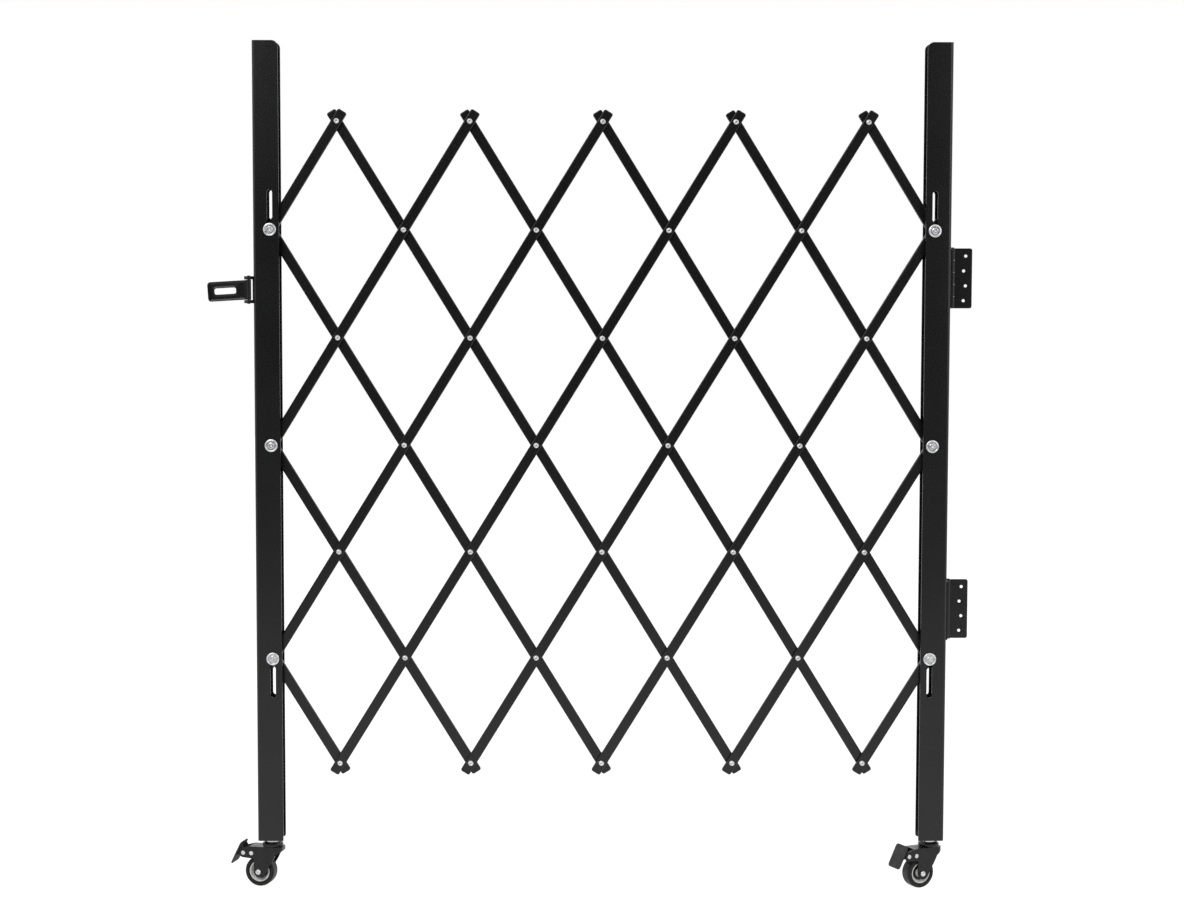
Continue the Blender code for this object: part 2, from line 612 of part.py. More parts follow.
def build_hasp():
    latch = marker("hasp_axis", (HASP_PIN_X, HASP_PIN_Y, HASP_HEIGHT), gate)
    half = HASP_EAR_OVERALL / 2
    web_face = HASP_STAND_OFF - GAP
    plate = box((web_face - HASP_PLATE, -HASP_SETBACK + POST_FOLD, -half),
                (web_face, HASP_PLATE_WIDTH + POST_FOLD - HASP_SETBACK, half))
    quarter = math.pi / 2
    back = HASP_EAR_ROUND + GAP
    ear = ([(web_face - WELD, -HASP_SETBACK + POST_FOLD + WELD)]
           + [(web_face - WELD, back + POST_FOLD)]
           + arc((0, 0), HASP_EAR_ROUND, quarter, quarter + math.pi, 8))
    inside = half - HASP_EAR
    ears = [prism(ear, inside, half - MERGE, "Z"), prism(ear, MERGE - half, -inside, "Z")]
    bore = rod(HASP_PIN + GAP, -HASP_EAR_OVERALL, HASP_EAR_OVERALL, 12, "Z")
    piece("hasp_bracket", [plate], BLACK_POWDER, latch, adds=ears, cuts=[bore])

    knuckle_half = inside - GAP
    sheet = rounded(-STRAP_LENGTH, -HASP_PIN - GAP, -STRAP_HEIGHT / 2, STRAP_HEIGHT / 2,
                    (0, 0, STRAP_CORNER, STRAP_CORNER), 3)
    slot_left = STRAP_SLOT_INSET - STRAP_LENGTH
    slot = rounded(slot_left, slot_left + STRAP_SLOT_LENGTH, -STRAP_SLOT_HEIGHT / 2, STRAP_SLOT_HEIGHT / 2,
                   (STRAP_SLOT_CORNER,) * 4, 3)

    def drooped(outline):
        lean, level = math.sin(STRAP_DROOP), math.cos(STRAP_DROOP)
        return [(a * level - b * lean, a * lean + b * level) for a, b in outline]

    strap = prism(drooped(sheet), -STRAP_SHEET / 2, STRAP_SHEET / 2, "Y")
    window = prism(drooped(slot), -STRAP_SHEET, STRAP_SHEET, "Y")
    roll = rod(HASP_KNUCKLE, -knuckle_half, knuckle_half, 12, "Z")
    pin_hole = rod(HASP_PIN + GAP, -HASP_EAR_OVERALL, HASP_EAR_OVERALL, 12, "Z")
    piece("hasp_strap", [strap], BLACK_POWDER, latch, adds=[roll], cuts=[window, pin_hole])

    lip = half + GAP
    head = HASP_PIN + HASP_PIN_RISE
    pin = [(0, lip + HASP_PIN_RISE), (head, lip + HASP_PIN_RISE), (head, lip), (HASP_PIN, lip),
           (HASP_PIN, -lip), (head, -lip), (head, -lip - HASP_PIN_RISE), (0, -lip - HASP_PIN_RISE)]
    piece("hasp_pin", [turned(pin, 12, "Z")], BLACK_ZINC, latch)


build_hasp()


# Casters. Each is drawn with its floor at zero, the king bolt upright at the origin and the wheel
# trailing along +X, then turned to where the photograph has it.

def fork_profile():
    """One leg and ear of the fork from the side."""
    ear_top, ear_bottom = FORK_TOP - EAR_DROP, FORK_TOP - EAR_DEPTH
    eye_middle = TRAIL - FORK_EYE_SET
    front = [(-FORK_FRONT, FORK_TOP), (-FORK_FRONT, FORK_TOP - FORK_LIP),
             (-LEG_FRONT, FORK_TOP - LEG_FRONT_DROP), (-LEG_KNEE, FORK_TOP - LEG_KNEE_DROP)]
    eye = arc((eye_middle, WHEEL), FORK_EYE, FORK_EYE_START, math.tau, 7)
    rear = [(eye_middle + FORK_EYE, ear_bottom - EAR_FILLET), (EAR_REAR - EAR_CHAMFER, ear_bottom),
            (EAR_REAR, ear_bottom + EAR_FILLET), (EAR_REAR, ear_top - EAR_CHAMFER),
            (EAR_REAR - EAR_CHAMFER, ear_top), (HOOD_REAR, FORK_TOP)]
    return front + eye + rear


def fork_corner_cut(side):
    """What is cut off the roof to round one of its front corners."""
    half = FORK_WIDTH / 2
    quarter = math.pi / 2
    outline = arc((-FORK_FRONT + FORK_CORNER, half - FORK_CORNER), FORK_CORNER, quarter, math.pi, 5)
    outline += [(-FORK_FRONT - OVERRUN, half - FORK_CORNER), (-FORK_FRONT - OVERRUN, half + OVERRUN),
                (-FORK_FRONT + FORK_CORNER, half + OVERRUN)]
    if side < 0:
        outline = [(a, -b) for a, b in reversed(outline)]
    return prism(outline, 0, FORK_TOP + OVERRUN, "Z")


def build_fork(name, parent):
    half = FORK_WIDTH / 2
    inner = half - FORK_SHEET
    corner = FORK_CORNER - FORK_SHEET
    body = prism(fork_profile(), -half, half, "Y")
    plan = rounded(FORK_SHEET - FORK_FRONT, HOOD_REAR + OVERRUN, -inner, inner, (0, 0, corner, corner), 4)
    hollow = prism(plan, -OVERRUN, FORK_TOP - FORK_SHEET, "Z")
    rear = box((HOOD_REAR, MERGE - inner, MERGE - OVERRUN),
               (EAR_REAR + OVERRUN, inner - MERGE, FORK_TOP + OVERRUN))
    cuts = [rear, rod(KING_BOLT + GAP, FORK_TOP - FORK_SHEET - OVERRUN, FORK_TOP + OVERRUN, 10, "Z"),
            rod(AXLE + GAP, -half - OVERRUN, half + OVERRUN, 8, "Y", (TRAIL, WHEEL)),
            rod(PEDAL_PIN + GAP, -half - OVERRUN, half + OVERRUN, 8, "Y", (PEDAL_PIVOT, PEDAL_PIVOT_HEIGHT)),
            rod(PEDAL_PIN + GAP, -half - OVERRUN, half + OVERRUN, 8, "Y", (ANCHOR_PIN, PEDAL_PIVOT_HEIGHT))]
    piece(name, [body], BLACK_ZINC, parent,
          hollow=[hollow, fork_corner_cut(1), fork_corner_cut(-1)], cuts=cuts)


def build_race(name, parent):
    """The ball race between the fork and the post: a skirted cup with a washer on top."""
    low = FORK_TOP + GAP
    high = CASTER_HEIGHT - GAP
    cup_top = high - RACE_NECK_RISE
    bore = KING_BOLT + GAP
    profile = [(bore, low), (RACE - FORK_SHEET, low), (RACE, low + FORK_SHEET),
               (RACE, low + RACE_SKIRT), (RACE_NECK + FORK_SHEET, cup_top), (RACE_NECK, cup_top),
               (RACE_NECK, high), (bore, high)]
    piece(name, [turned(profile, 14, "Z", ring=True)], BLACK_ZINC, parent)


def build_king_bolt(name, parent):
    """Head under the fork, shank through race and foot plate, and its lock nut, made as one."""
    underside = FORK_TOP - FORK_SHEET - GAP
    nut_low = CASTER_HEIGHT + FOOT_SHEET + GAP
    tip = nut_low + KING_NUT_HEIGHT + BOLT_TIP
    profile = [(0, underside - KING_HEAD_RISE), (KING_HEAD - WELD, underside - KING_HEAD_RISE),
               (KING_HEAD, underside), (KING_BOLT, underside), (KING_BOLT, tip), (0, tip)]
    nut = prism(hexagon(KING_NUT_ACROSS), nut_low, nut_low + KING_NUT_HEIGHT, "Z")
    piece(name, [turned(profile, 12, "Z")], BRIGHT_ZINC, parent, adds=[nut])


def build_wheel(name, parent):
    """Nylon wheel with a recessed face on both sides, and the tyre moulded round its rim."""
    half = WHEEL_WIDTH / 2
    rim_outer = WHEEL - TYRE
    rim_inner = rim_outer - RIM
    disc = HUB_DISC / 2
    bore = AXLE + GAP
    edge = half - RIM_INSET
    core = [(bore, -half), (HUB, -half), (HUB, -disc), (rim_inner, -disc), (rim_inner, -edge),
            (rim_outer, -edge), (rim_outer, edge), (rim_inner, edge), (rim_inner, disc), (HUB, disc),
            (HUB, half), (bore, half)]
    piece(name + "_wheel", [turned(core, 16, "Y", ring=True)], GREY_NYLON, parent)
    seat = rim_outer + GAP
    tread = half - TYRE_SHOULDER / 2
    tyre = [(seat, -edge), (WHEEL - TYRE_SHOULDER, -half), (WHEEL - TYRE_SHOULDER / 4, -tread),
            (WHEEL, -half + TYRE_SHOULDER), (WHEEL, half - TYRE_SHOULDER), (WHEEL - TYRE_SHOULDER / 4, tread),
            (WHEEL - TYRE_SHOULDER, half), (seat, edge)]
    piece(name + "_tyre", [turned(tyre, 20, "Y", ring=True)], RUBBER, parent)


def build_axle(name, parent):
    """Bolt with a round head on one side of the fork, and a domed nut on the other."""
    half = FORK_WIDTH / 2 + GAP
    nut_end = -half - AXLE_NUT_RISE
    bolt = [(0, half + AXLE_HEAD_RISE), (AXLE_HEAD - WELD, half + AXLE_HEAD_RISE), (AXLE_HEAD, half),
            (AXLE, half), (AXLE, nut_end + BOLT_TIP), (0, nut_end + BOLT_TIP)]
    piece(name + "_axle_bolt", [turned(bolt, 10, "Y")], BRIGHT_ZINC, parent)
    dome = BOLT_TIP / 2
    nut = [(0, nut_end), (AXLE_HEAD - dome, nut_end), (AXLE_HEAD, nut_end + dome), (AXLE_HEAD, -half),
           (AXLE + GAP, -half), (AXLE + GAP, nut_end + dome), (0, nut_end + dome)]
    piece(name + "_axle_nut", [turned(nut, 10, "Y")], BRIGHT_ZINC, parent)


def build_pedal(name, parent):
    """A rocker plate on two cheeks that swing inside the fork's ears."""
    cheek_outer = FORK_WIDTH / 2 - FORK_SHEET - GAP
    cheek_inner = cheek_outer - PEDAL_SHEET
    half_width = PEDAL_WIDTH / 2
    half_length = PEDAL_LENGTH / 2
    plate = prism(rounded(-half_width, half_width, -half_length - PEDAL_DROP, half_length - PEDAL_DROP,
                          (PEDAL_CORNER,) * 4, 3),
                  PEDAL_REACH, PEDAL_REACH + PEDAL_SHEET, "X")
    eye = PEDAL_PIN + GAP + PEDAL_SHEET
    quarter = math.pi / 2
    cheek = ([(PEDAL_REACH + WELD, CHEEK_HEIGHT), (0, eye)] + arc((0, 0), eye, quarter, 3 * quarter, 6)[1:]
             + [(PEDAL_REACH + WELD, -CHEEK_HEIGHT)])
    arms = [prism(cheek, -cheek_outer, -cheek_inner, "Y"), prism(cheek, cheek_inner, cheek_outer, "Y")]
    bore = rod(PEDAL_PIN + GAP, -FORK_WIDTH, FORK_WIDTH, 8, "Y")
    piece(name, [plate], BLACK_ZINC, parent, (PEDAL_PIVOT, 0, PEDAL_PIVOT_HEIGHT), (0, -PEDAL_LEAN, 0),
          adds=arms, cuts=[bore])


def cross_pin(name, place, parent):
    """A pin with a head on each side of the fork."""
    half = FORK_WIDTH / 2 + GAP
    end = half + PEDAL_PIN_RISE
    profile = [(0, -end), (PEDAL_PIN_HEAD, -end), (PEDAL_PIN_HEAD, -half), (PEDAL_PIN, -half),
               (PEDAL_PIN, half), (PEDAL_PIN_HEAD, half), (PEDAL_PIN_HEAD, end), (0, end)]
    piece(name, [turned(profile, 8, "Y", place)], BRIGHT_ZINC, parent)


def build_caster(name, column, side, yaw, parent, offset):
    post_line = node_place(column, 0) - offset
    foot = (post_line.x + side * KING_OFFSET, post_line.y, CASTER_FLOOR)
    swivel = marker(name + "_swivel_axis", foot, parent, yaw)
    axle = marker(name + "_axle_axis", (TRAIL, 0, WHEEL), swivel)
    build_king_bolt(name + "_king_bolt", swivel)
    build_race(name + "_race", swivel)
    build_fork(name + "_fork", swivel)
    build_wheel(name, axle)
    build_axle(name, axle)
    build_pedal(name + "_brake_pedal", swivel)
    cross_pin(name + "_pedal_pin", (PEDAL_PIVOT, PEDAL_PIVOT_HEIGHT), swivel)
    cross_pin(name + "_anchor_pin", (ANCHOR_PIN, PEDAL_PIVOT_HEIGHT), swivel)


build_caster("latch_caster", 0, -1, LATCH_CASTER_YAW, gate, Vector((0, 0, 0)))
build_caster("hinge_caster", COLUMNS, 1, HINGE_CASTER_YAW, swing_axis, Vector((BARREL_X, BARREL_Y, 0)))
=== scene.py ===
"""Looks of the expandable safety barrier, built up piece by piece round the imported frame."""
import json
import math

import bpy
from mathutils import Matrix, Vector

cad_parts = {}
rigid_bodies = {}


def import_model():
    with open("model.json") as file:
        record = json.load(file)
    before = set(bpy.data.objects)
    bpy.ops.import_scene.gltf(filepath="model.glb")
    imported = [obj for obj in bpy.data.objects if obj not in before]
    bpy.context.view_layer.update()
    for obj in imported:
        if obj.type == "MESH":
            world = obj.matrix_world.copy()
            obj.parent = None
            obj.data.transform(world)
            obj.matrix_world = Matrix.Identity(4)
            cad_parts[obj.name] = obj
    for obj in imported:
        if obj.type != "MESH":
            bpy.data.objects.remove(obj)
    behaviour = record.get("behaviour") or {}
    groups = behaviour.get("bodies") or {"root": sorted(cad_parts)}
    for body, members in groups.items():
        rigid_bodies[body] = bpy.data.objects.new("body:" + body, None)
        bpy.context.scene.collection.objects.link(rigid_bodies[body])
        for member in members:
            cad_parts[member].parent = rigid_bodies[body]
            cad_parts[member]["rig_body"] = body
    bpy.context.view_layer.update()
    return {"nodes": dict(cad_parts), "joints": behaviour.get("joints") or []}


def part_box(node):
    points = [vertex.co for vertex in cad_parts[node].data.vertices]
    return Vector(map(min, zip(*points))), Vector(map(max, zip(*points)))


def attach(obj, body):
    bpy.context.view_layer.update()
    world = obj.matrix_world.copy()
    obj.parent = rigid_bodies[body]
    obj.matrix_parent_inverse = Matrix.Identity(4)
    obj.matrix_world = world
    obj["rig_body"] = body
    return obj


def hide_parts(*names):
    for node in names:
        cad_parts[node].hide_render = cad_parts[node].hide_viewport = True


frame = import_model()
nodes = frame["nodes"]
joints = {joint["name"]: joint for joint in frame["joints"]}


# Posts
# Each post is a channel bent from 2.5 mm steel sheet with a plate welded in its foot, slotted for the
# pivot bolts, and powder coated black after welding, so the coat runs over every edge.

SHEET_EDGE = 0.0007         # rounding of a sawn and coated sheet edge
SAME_POINT = 0.000003       # corners nearer than this are one corner
FLAT = math.radians(0.4)    # faces that lean less than this are one flat face
CREASE = math.radians(24)   # edges that turn more than this are rounded over
SMOOTH = math.radians(40)   # shading runs across edges that turn less than this
NOISE_LOW = 0.3             # noise is mostly between these two
NOISE_HIGH = 0.7


def pick(item):
    """Leaves one object selected and in hand."""
    bpy.ops.object.select_all(action="DESELECT")
    item.select_set(True)
    bpy.context.view_layer.objects.active = item


def choose(item, wanted):
    """Opens an object for editing with only the wanted points selected."""
    pick(item)
    bpy.ops.object.mode_set(mode="EDIT")
    bpy.ops.mesh.select_mode(type="VERT")
    bpy.ops.mesh.select_all(action="DESELECT")
    bpy.ops.object.mode_set(mode="OBJECT")
    for point in item.data.vertices:
        point.select = wanted(point.co)
    bpy.ops.object.mode_set(mode="EDIT")


def soften(item, width, steps):
    """Rounds over the sharp edges and lets the shading run smoothly across them."""
    pick(item)
    edge = item.modifiers.new("edges", "BEVEL")
    edge.width = width
    edge.segments = steps
    edge.limit_method = "ANGLE"
    edge.angle_limit = CREASE
    bpy.ops.object.modifier_apply(modifier=edge.name)
    bpy.ops.object.shade_smooth_by_angle(angle=SMOOTH)
    even = item.modifiers.new("even", "WEIGHTED_NORMAL")
    even.keep_sharp = True
    bpy.ops.object.modifier_apply(modifier=even.name)


def whole(node, name):
    """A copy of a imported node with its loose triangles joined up."""
    item = bpy.data.objects.new(name, nodes[node].data.copy())
    bpy.context.scene.collection.objects.link(item)
    choose(item, lambda point: True)
    bpy.ops.mesh.remove_doubles(threshold=SAME_POINT)
    bpy.ops.object.mode_set(mode="OBJECT")
    return item


def flatten(item):
    """Makes each flat face of a copy one face again, split only where it would be hollow."""
    choose(item, lambda point: True)
    bpy.ops.mesh.dissolve_limited(angle_limit=FLAT)
    bpy.ops.mesh.select_all(action="SELECT")
    bpy.ops.mesh.vert_connect_concave()
    bpy.ops.object.mode_set(mode="OBJECT")


def dress(item, node, finish):
    """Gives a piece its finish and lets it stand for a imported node."""
    item.data.materials.clear()
    item.data.materials.append(finish)
    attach(item, nodes[node]["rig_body"])
    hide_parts(node)


def links(material, pairs):
    """Joins sockets in a material: each pair is (node, socket name), (node, socket name)."""
    for (source, out), (target, into) in pairs:
        material.node_tree.links.new(source.outputs[out], target.inputs[into])


def new_finish(name):
    """A material with its shader and the object's own coordinates."""
    material = bpy.data.materials.new(name)
    material.use_nodes = True
    shader = material.node_tree.nodes["Principled BSDF"]
    place = material.node_tree.nodes.new("ShaderNodeTexCoord")
    return material, shader, place


def speckle(material, place, scale, detail, roughness=0.5):
    """Noise on the object's own coordinates, with scale in cells to the metre."""
    noise = material.node_tree.nodes.new("ShaderNodeTexNoise")
    noise.inputs["Scale"].default_value = scale
    noise.inputs["Detail"].default_value = detail
    noise.inputs["Roughness"].default_value = roughness
    links(material, [((place, "Object"), (noise, "Vector"))])
    return noise


def ramp(material, noise, stops):
    """Colours along a noise value, as (position, colour) stops."""
    band = material.node_tree.nodes.new("ShaderNodeValToRGB")
    while len(band.color_ramp.elements) < len(stops):
        band.color_ramp.elements.new(0.5)
    for element, (position, colour) in zip(band.color_ramp.elements, stops):
        element.position = position
        element.color = (*colour, 1)
    links(material, [((noise, "Fac"), (band, "Fac"))])
    return band


def spread(material, noise, low, high):
    """Carries a noise value from its usual middle range to low and high."""
    span = material.node_tree.nodes.new("ShaderNodeMapRange")
    span.inputs["From Min"].default_value = NOISE_LOW
    span.inputs["From Max"].default_value = NOISE_HIGH
    span.inputs["To Min"].default_value = low
    span.inputs["To Max"].default_value = high
    links(material, [((noise, "Fac"), (span, "Value"))])
    return span


def dents(material, noise, strength, depth, under=None):
    """A bump from a noise value, laid over an earlier bump if there is one."""
    bump = material.node_tree.nodes.new("ShaderNodeBump")
    bump.inputs["Strength"].default_value = strength
    bump.inputs["Distance"].default_value = depth
    links(material, [((noise, "Fac"), (bump, "Height"))])
    if under:
        links(material, [((under, "Normal"), (bump, "Normal"))])
    return bump


def lay_on(material, shader, tint, sheen, skin):
    """Gives a finish its colour, its shine and its surface."""
    links(material, [((tint, "Color"), (shader, "Base Color")),
                     ((sheen, "Result"), (shader, "Roughness")),
                     ((skin, "Normal"), (shader, "Normal"))])


def powder_coat():
    """Satin black powder: orange peel, a fine grain and faint clouds."""
    material, shader, place = new_finish("satin black powder coat")
    shader.inputs["Specular IOR Level"].default_value = 0.46
    clouds = speckle(material, place, 9, 4)
    peel = speckle(material, place, 420, 2)
    grain = speckle(material, place, 2600, 1)
    tint = ramp(material, clouds, [(0.35, (0.0028, 0.0028, 0.0030)),
                                   (0.65, (0.0046, 0.0047, 0.0049))])
    sheen = spread(material, peel, 0.24, 0.31)
    skin = dents(material, grain, 0.02, 0.0002, dents(material, peel, 0.03, 0.0004))
    lay_on(material, shader, tint, sheen, skin)
    return material


POWDER = powder_coat()
for post in ("latch_post", "hinge_post"):
    channel = whole(post, "dressed_" + post)
    flatten(channel)
    soften(channel, SHEET_EDGE, 2)
    dress(channel, post, POWDER)


# Lattice bars
# Sixteen narrow channels pressed from 1.8 mm strip, cropped square with small round corners and powder
# coated. The front layer climbs to the right and the back layer drops to the right.

BAR_EDGE = 0.0006
BAR_FRONT = 0.00715         # front of the rising bars before the middle of the lattice
BAR_WEB = 0.0018
RIVET_REACH = 0.0052        # everything of a packed rivet is this near its axis
CUT_CLEAR = 0.00001
COLUMNS = 10                # crossings from post to post
TIP_ROW = 3                 # the lattice's upper tips, above the middle bolts
RISING_BARS = [((0, 2), (1, 3)), ((0, 0), (3, 3)), ((0, -2), (5, 3)), ((1, -3), (7, 3)),
               ((3, -3), (9, 3)), ((5, -3), (10, 2)), ((7, -3), (10, 0)), ((9, -3), (10, -2))]
first_crossing = Vector(joints["rising_bar_2_turn"]["pos_m"])
last_crossing = Vector(joints["lattice_fold"]["pos_m"])
top_crossing = Vector(joints["rising_bar_1_turn"]["pos_m"])
column_step = (last_crossing.x - first_crossing.x) / COLUMNS
row_step = (top_crossing.z - first_crossing.z) / TIP_ROW


def crossing(column, row):
    """Where two bars cross, at the middle of the lattice's thickness."""
    return first_crossing + Vector((column * column_step, 0, row * row_step))


def rivets_of(number):
    """The crossings where a rising bar carries a rivet: all but those on the posts."""
    start, end = RISING_BARS[number - 1]
    along = range(end[0] - start[0] + 1)
    return [crossing(start[0] + step, start[1] + step) for step in along
            if 0 < start[0] + step < COLUMNS]


def shear_rivets(item, places):
    """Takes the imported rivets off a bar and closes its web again, for the rounder rivets below."""
    front = first_crossing.y - BAR_FRONT
    back = front + BAR_WEB

    def on_rivet(point):
        if front - CUT_CLEAR <= point.y <= back + CUT_CLEAR:
            return False
        return any(math.hypot(point.x - p.x, point.z - p.z) < RIVET_REACH for p in places)

    choose(item, on_rivet)
    bpy.ops.mesh.delete(type="VERT")
    bpy.ops.mesh.select_all(action="DESELECT")
    bpy.ops.mesh.select_non_manifold()
    bpy.ops.mesh.fill_holes(sides=0)
    bpy.ops.object.mode_set(mode="OBJECT")


for number in range(1, len(RISING_BARS) + 1):
    for layer in ("rising", "falling"):
        node = "%s_bar_%d" % (layer, number)
        bar = whole(node, "dressed_" + node)
        if layer == "rising":
            shear_rivets(bar, rivets_of(number))
        flatten(bar)
        soften(bar, BAR_EDGE, 2)
        dress(bar, node, POWDER)


# Rivets
# Zinc plated tubular rivets with a low domed head and a dimple, set at every crossing between the posts.
# The front bar holds them tight, so they are turned from one drawing and ride with that bar.

TOWARD_VIEWER = (math.pi / 2, 0, 0)
RIVET_RINGS = [(0.0034, -0.0041), (0.0043, -0.0036), (0.0043, -0.0022), (0.0028, -0.0022),
               (0.0028, 0.00715), (0.0050, 0.00715), (0.0050, 0.0079), (0.0047, 0.0090),
               (0.0040, 0.0101), (0.0031, 0.0109), (0.0025, 0.0112), (0.0021, 0.0109),
               (0.0017, 0.0088), (0.0004, 0.0086)]


def turned(name, rings, sides, bore=False):
    """A round piece on the Z axis, drawn out ring by ring from a disc; a bore joins its two ends."""
    bpy.ops.object.select_all(action="DESELECT")
    radius, height = rings[0]
    bpy.ops.mesh.primitive_circle_add(vertices=sides, radius=radius, fill_type="NGON",
                                      location=(0, 0, height))
    item = bpy.context.object
    item.name = name
    bpy.ops.object.transform_apply(location=True, rotation=True, scale=True)
    bpy.ops.object.mode_set(mode="EDIT")
    bpy.ops.mesh.select_mode(type="FACE")
    bpy.ops.mesh.select_all(action="SELECT")
    for next_radius, next_height in rings[1:]:
        rise = {"value": (0, 0, next_height - height)}
        bpy.ops.mesh.extrude_region_move(TRANSFORM_OT_translate=rise)
        share = next_radius / radius
        bpy.ops.transform.resize(value=(share, share, 1), center_override=(0, 0, next_height))
        radius, height = next_radius, next_height
    if bore:
        bpy.ops.object.mode_set(mode="OBJECT")
        for face in item.data.polygons:
            face.select = len(face.vertices) > 4
        bpy.ops.object.mode_set(mode="EDIT")
        bpy.ops.mesh.delete(type="ONLY_FACE")
        bpy.ops.mesh.select_mode(type="EDGE")
        bpy.ops.mesh.select_all(action="DESELECT")
        bpy.ops.mesh.select_non_manifold()
        bpy.ops.mesh.bridge_edge_loops()
    bpy.ops.mesh.select_all(action="SELECT")
    bpy.ops.mesh.normals_make_consistent(inside=False)
    bpy.ops.object.mode_set(mode="OBJECT")
    return item


def stand(item, place, turn=(0, 0, 0)):
    """Turns a piece drawn at the origin, puts it in its place, and leaves the place in its mesh."""
    pick(item)
    item.rotation_euler = turn
    item.location = place
    bpy.ops.object.transform_apply(location=True, rotation=True, scale=True)
    return item


def copy_of(item, name):
    """Another of the same piece, with a mesh of its own."""
    other = bpy.data.objects.new(name, item.data.copy())
    bpy.context.scene.collection.objects.link(other)
    return other


def joined(items, name):
    """Several pieces made one."""
    pick(items[0])
    for item in items[1:]:
        item.select_set(True)
    if len(items) > 1:
        bpy.ops.object.join()
    items[0].name = name
    return items[0]


def add_on(item, body, finish):
    """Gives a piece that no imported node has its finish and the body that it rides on."""
    item.data.materials.append(finish)
    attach(item, body)


def bright_zinc():
    """Electroplated zinc: a silvery metal with grey-blue clouds and a fine grain."""
    material, shader, place = new_finish("bright zinc plate")
    shader.inputs["Metallic"].default_value = 1.0
    clouds = speckle(material, place, 260, 4, 0.6)
    grain = speckle(material, place, 2400, 3)
    tint = ramp(material, clouds, [(0.30, (0.50, 0.50, 0.51)), (0.52, (0.70, 0.705, 0.72)),
                                   (0.72, (0.84, 0.84, 0.83))])
    sheen = spread(material, clouds, 0.26, 0.40)
    skin = dents(material, grain, 0.12, 0.0002)
    lay_on(material, shader, tint, sheen, skin)
    return material


ZINC = bright_zinc()
rivet = turned("rivet", RIVET_RINGS, sides=24)
pick(rivet)
bpy.ops.object.shade_smooth_by_angle(angle=SMOOTH)
for number in range(1, len(RISING_BARS) + 1):
    row = [stand(copy_of(rivet, "one_rivet"), place, TOWARD_VIEWER) for place in rivets_of(number)]
    add_on(joined(row, "rivets_of_rising_bar_%d" % number), "rising_bar_%d" % number, ZINC)
bpy.data.objects.remove(rivet)


# Pivot bolts and nuts
# Three to a post. A broad round head with a raised rim, a groove and a middle boss, on an 8 mm shank
# that runs through the post to a lock nut behind. All are zinc plated steel.

AWAY_FROM_VIEWER = (-math.pi / 2, 0, 0)
POST_HALF = 0.018           # from the bolts' middle to the post's front and back
HEAD_OFF = 0.0003           # air under a head or a nut
TURNED_EDGE = 0.0001
NUT_EDGE = 0.0005
BOLT_ROWS = (("top", 2), ("middle", 0), ("bottom", -2))
BOLT_RINGS = [(0.0033, -0.0443), (0.0040, -0.0436), (0.0040, 0.0), (0.0110, 0.0), (0.0110, 0.0018),
              (0.0107, 0.0026), (0.0100, 0.0031), (0.0091, 0.0033), (0.0084, 0.0030),
              (0.0080, 0.0022), (0.0078, 0.0016), (0.0054, 0.0016), (0.0051, 0.0030),
              (0.0048, 0.0038), (0.0040, 0.0042), (0.0019, 0.0042), (0.0014, 0.0036),
              (0.0004, 0.0034)]
NUT_FLAT = 0.0065           # middle to flat
NUT_HEIGHT = 0.0052
COLLAR_RINGS = [(0.0044, 0.0050), (0.0062, 0.0050), (0.0062, 0.0058), (0.0058, 0.0063),
                (0.0044, 0.0065)]


def machined(name, rings, sides, edge=TURNED_EDGE, bore=False):
    """A turned piece with its edges broken."""
    item = turned(name, rings, sides, bore)
    soften(item, edge, 1)
    return item


def hexagon(flat, low, height):
    """A six-sided nut that stands on a height of the Z axis, with rounded corners."""
    bpy.ops.object.select_all(action="DESELECT")
    bpy.ops.mesh.primitive_cylinder_add(vertices=6, radius=flat * 2 / math.sqrt(3), depth=height,
                                        location=(0, 0, low + height / 2))
    item = bpy.context.object
    bpy.ops.object.transform_apply(location=True, rotation=True, scale=True)
    soften(item, NUT_EDGE, 3)
    return item


bolt = machined("bolt", BOLT_RINGS, sides=48)
nut = hexagon(NUT_FLAT, 0, NUT_HEIGHT)
nut = joined([nut, machined("collar", COLLAR_RINGS, sides=32, bore=True)], "nut")
off_middle = Vector((0, POST_HALF + HEAD_OFF, 0))
for post, column in (("latch", 0), ("hinge", COLUMNS)):
    for level, row in BOLT_ROWS:
        middle = crossing(column, row)
        head = stand(copy_of(bolt, "dressed_pivot_bolt_%s_%s" % (post, level)),
                     middle - off_middle, TOWARD_VIEWER)
        dress(head, "pivot_bolt_%s_%s" % (post, level), ZINC)
        lock = stand(copy_of(nut, "dressed_pivot_nut_%s_%s" % (post, level)),
                     middle + off_middle, AWAY_FROM_VIEWER)
        dress(lock, "pivot_nut_%s_%s" % (post, level), ZINC)
bpy.data.objects.remove(bolt)
bpy.data.objects.remove(nut)


# Hinges
# Two butt hinges of 2.5 mm steel with rolled knuckles, coated with the post. The wall leaf has four
# countersunk holes, and the other leaf is fixed to the post's web.

HINGE_EDGE = 0.0005


def black_zinc():
    """Black zinc on pressed steel: darker than powder, rippled, and shiny in clouds."""
    material, shader, place = new_finish("black zinc plate")
    shader.inputs["Metallic"].default_value = 0.1
    shader.inputs["Specular IOR Level"].default_value = 0.38
    clouds = speckle(material, place, 120, 4, 0.6)
    ripple = speckle(material, place, 380, 2)
    grain = speckle(material, place, 1800, 2)
    tint = ramp(material, clouds, [(0.35, (0.0035, 0.0035, 0.0037)),
                                   (0.70, (0.009, 0.009, 0.0095))])
    sheen = spread(material, clouds, 0.14, 0.30)
    skin = dents(material, grain, 0.10, 0.0002, dents(material, ripple, 0.8, 0.0008))
    lay_on(material, shader, tint, sheen, skin)
    return material


